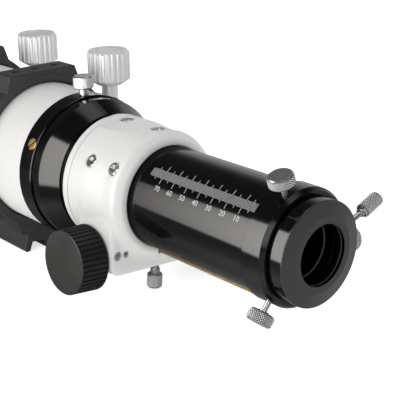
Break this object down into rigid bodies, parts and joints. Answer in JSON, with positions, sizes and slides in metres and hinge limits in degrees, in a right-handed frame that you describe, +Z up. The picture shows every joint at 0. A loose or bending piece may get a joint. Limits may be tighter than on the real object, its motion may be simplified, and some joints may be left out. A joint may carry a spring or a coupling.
{
  "type": "refractor telescope",
  "caption": "Refractor telescope with a rack-and-pinion focuser drawn out, sliding dew shield, hinged tube rings and a dovetail bar.",
  "frame": {"origin": "on the optical axis, in the plane of the flat rear face round the eyepiece bore", "axes": "+X along the optical axis towards the eyepiece, +Z up, -Y to the observer's left as they look in; the dovetail bar is below"},
  "size_m": [0.653, 0.1323, 0.1229],
  "materials": {
    "white_paint": "warm white gloss paint",
    "black_gloss": "gloss black anodised",
    "black_satin": "satin black anodised",
    "bright_steel": "bright plated, knurled",
    "steel": "plain steel",
    "fluted_aluminium": "bright machined aluminium",
    "brass": "machined brass",
    "bronze": "sintered bronze",
    "felt": "black felt",
    "polymer": "low-friction polymer",
    "matt_black": "flat black",
    "crown_glass": "coated optical glass",
    "flint_glass": "coated optical glass",
    "black_knob": "satin black"
  },
  "bodies": {
    "tube": {"main_tube": "white_paint", "tube_rear_flange": "black_gloss", "flange_screws": "brass", "tube_baffles": "matt_black", "lens_cell": "black_satin", "objective_front_lens": "crown_glass", "objective_rear_lens": "flint_glass", "lens_spacer": "steel", "lens_retaining_ring": "matt_black", "dew_shield_felt": "felt", "rear_ring_lower": "black_satin", "front_ring_lower": "black_satin", "ring_lower_felts": "felt", "ring_hinge_pins": "steel", "dovetail_bar": "black_satin", "bar_screws": "steel"},
    "focuser": {"rotator_ring": "black_gloss", "focuser_body": "white_paint", "guide_strips": "polymer", "guide_strip_screws": "bright_steel", "finder_shoe_screws": "bright_steel", "pinion_block_screws": "bright_steel", "pinion_cover_plate": "black_satin", "cover_plate_screws": "steel", "pinion_bushes": "bronze", "reduction_housing": "steel", "brake_pad": "polymer"},
    "drawtube": {"drawtube": "black_gloss", "drawtube_collar": "black_gloss", "collar_compression_ring": "brass", "gear_rack": "brass", "rack_screws": "steel"},
    "coarse_focus": {"pinion_shaft": "steel", "pinion_gear": "brass", "focus_knob_left": "black_knob", "focus_knob_right": "black_knob", "ball_carrier": "steel", "reduction_balls": "steel"},
    "fine_focus": {"fine_focus_shaft": "steel", "fine_focus_knob": "bright_steel"},
    "focus_lock": {"focus_lock_screw": "bright_steel"},
    "rotation_lock": {"rotation_lock_screw": "bright_steel"},
    "adapter": {"eyepiece_adapter": "black_gloss", "adapter_compression_ring": "black_gloss"},
    "adapter_lock": {"adapter_screw": "bright_steel"},
    "collar_lock_upper": {"collar_screw_upper": "bright_steel"},
    "collar_lock_lower": {"collar_screw_lower": "bright_steel"},
    "collar_lock_far": {"collar_screw_far": "bright_steel"},
    "dew_shield": {"dew_shield": "white_paint", "dew_shield_front_ring": "black_satin", "dew_shield_rear_ring": "black_satin"},
    "dew_shield_lock": {"dew_shield_lock_screw": "bright_steel"},
    "rear_ring_top": {"rear_ring_upper": "black_satin", "rear_ring_upper_felt": "felt"},
    "front_ring_top": {"front_ring_upper": "black_satin", "front_ring_upper_felt": "felt"},
    "rear_clamp": {"rear_clamp_knob": "fluted_aluminium", "rear_clamp_stud": "steel"},
    "front_clamp": {"front_clamp_knob": "fluted_aluminium", "front_clamp_stud": "steel"}
  },
  "joints": [
    {"name": "focuser_turn", "type": "hinge", "parent": "tube", "child": "focuser", "pos_m": [-0.19, 0, 0], "axis": [1, 0, 0], "continuous": true},
    {"name": "drawtube_slide", "type": "slide", "parent": "focuser", "child": "drawtube", "axis": [1, 0, 0], "range_m": [-0.08, 0]},
    {"name": "coarse_knob_turn", "type": "hinge", "parent": "focuser", "child": "coarse_focus", "pos_m": [-0.14, -0.00317, -0.03626], "axis": [0, 0.9962, -0.0872], "range_deg": [-1019, 1]},
    {"name": "fine_knob_turn", "type": "hinge", "parent": "focuser", "child": "fine_focus", "pos_m": [-0.14, -0.00317, -0.03626], "axis": [0, 0.9962, -0.0872], "range_deg": [-10187, 1]},
    {"name": "focus_lock_turn", "type": "hinge", "parent": "focuser", "child": "focus_lock", "pos_m": [-0.124, -0.00436, -0.04981], "axis": [0, 0.0872, 0.9962], "range_deg": [-90, 540]},
    {"name": "rotation_lock_turn", "type": "hinge", "parent": "tube", "child": "rotation_lock", "pos_m": [-0.1917, 0, 0.05], "axis": [0, 0, 1], "range_deg": [-90, 540]},
    {"name": "adapter_slide", "type": "slide", "parent": "drawtube", "child": "adapter", "axis": [1, 0, 0], "range_m": [0, 0.03]},
    {"name": "adapter_lock_turn", "type": "hinge", "parent": "adapter", "child": "adapter_lock", "pos_m": [-0.0046, 0.02819, 0.01026], "axis": [0, 0.9397, 0.342], "range_deg": [-90, 540]},
    {"name": "collar_lock_upper_turn", "type": "hinge", "parent": "drawtube", "child": "collar_lock_upper", "pos_m": [-0.0162, -0.01107, 0.03215], "axis": [0, -0.3256, 0.9455], "range_deg": [-90, 540]},
    {"name": "collar_lock_lower_turn", "type": "hinge", "parent": "drawtube", "child": "collar_lock_lower", "pos_m": [-0.0162, -0.02231, -0.02566], "axis": [0, -0.6561, -0.7547], "range_deg": [-90, 540]},
    {"name": "collar_lock_far_turn", "type": "hinge", "parent": "drawtube", "child": "collar_lock_far", "pos_m": [-0.0162, 0.03338, -0.00649], "axis": [0, 0.9816, -0.1908], "range_deg": [-90, 540]},
    {"name": "dew_shield_slide", "type": "slide", "parent": "tube", "child": "dew_shield", "axis": [1, 0, 0], "range_m": [0, 0.095]},
    {"name": "dew_shield_lock_turn", "type": "hinge", "parent": "dew_shield", "child": "dew_shield_lock", "pos_m": [-0.5268, 0.04503, 0.026], "axis": [0, 0.866, 0.5], "range_deg": [-90, 540]},
    {"name": "rear_ring_hinge", "type": "hinge", "parent": "tube", "child": "rear_ring_top", "pos_m": [-0.244, -0.0555, 0], "axis": [1, 0, 0], "range_deg": [0, 105]},
    {"name": "rear_clamp_turn", "type": "hinge", "parent": "rear_ring_top", "child": "rear_clamp", "pos_m": [-0.244, 0.058, 0.03], "axis": [0, 0, 1], "range_deg": [-45, 1440]},
    {"name": "front_ring_hinge", "type": "hinge", "parent": "tube", "child": "front_ring_top", "pos_m": [-0.3305, -0.0555, 0], "axis": [1, 0, 0], "range_deg": [0, 105]},
    {"name": "front_clamp_turn", "type": "hinge", "parent": "front_ring_top", "child": "front_clamp", "pos_m": [-0.3305, 0.058, 0.03], "axis": [0, 0, 1], "range_deg": [-45, 1440]}
  ],
  "couplings": [
    {"joint": "coarse_knob_turn", "follows": "drawtube_slide", "rad_per_m": 222.22},
    {"joint": "fine_knob_turn", "follows": "drawtube_slide", "rad_per_m": 2222.2}
  ]
}
